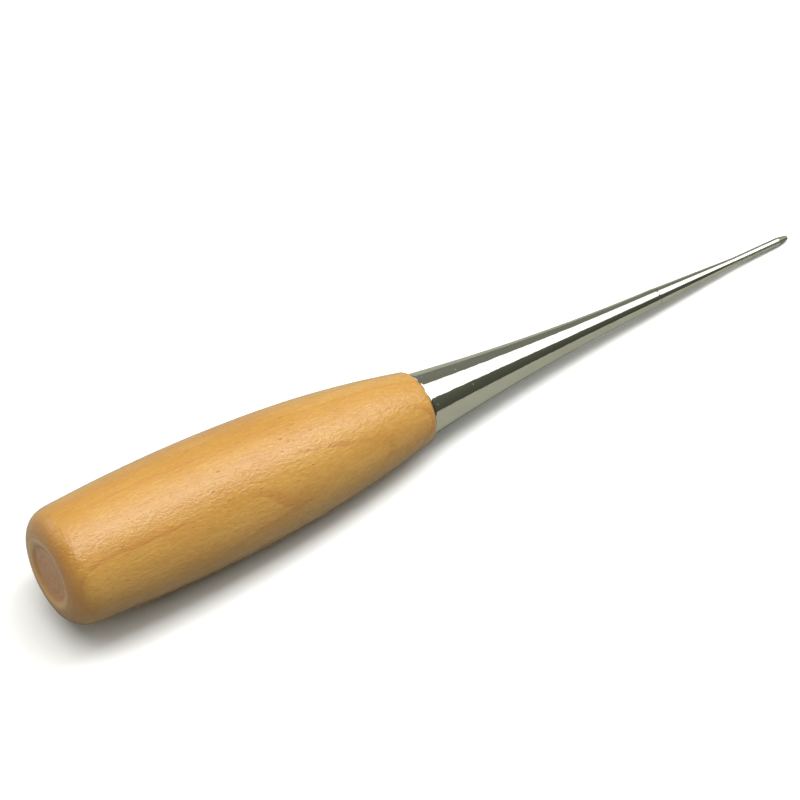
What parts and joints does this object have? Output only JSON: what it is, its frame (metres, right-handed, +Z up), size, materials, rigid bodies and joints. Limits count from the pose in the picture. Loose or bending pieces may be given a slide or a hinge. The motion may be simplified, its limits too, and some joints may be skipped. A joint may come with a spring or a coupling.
{
  "type": "leatherworking awl",
  "caption": "Hand awl with a turned barrel handle, a chromed trumpet ferrule and a tapered steel rod that ends in a blunt parallel pin.",
  "frame": {"origin": "on the surface that the awl lies on, below the middle of its bounding box", "axes": "+Z up, +X from the butt of the handle towards the tip. The tool axis lies in the XZ plane and slopes down to the tip by about 5.3 degrees, because the awl rests on the belly of its handle and on the end of its pin"},
  "size_m": [0.1818, 0.0266, 0.0292],
  "materials": {
    "handle_wood": "pale hardwood under clear amber lacquer, satin gloss",
    "ferrule_chrome": "bright plated, polished",
    "rod_steel": "bright plated steel, finely ground taper and pin",
    "cured_resin": "hard cured adhesive, hidden"
  },
  "bodies": {
    "root": {"handle": "handle_wood", "ferrule": "ferrule_chrome", "awl_rod": "rod_steel", "tang_resin": "cured_resin"}
  },
  "joints": []
}
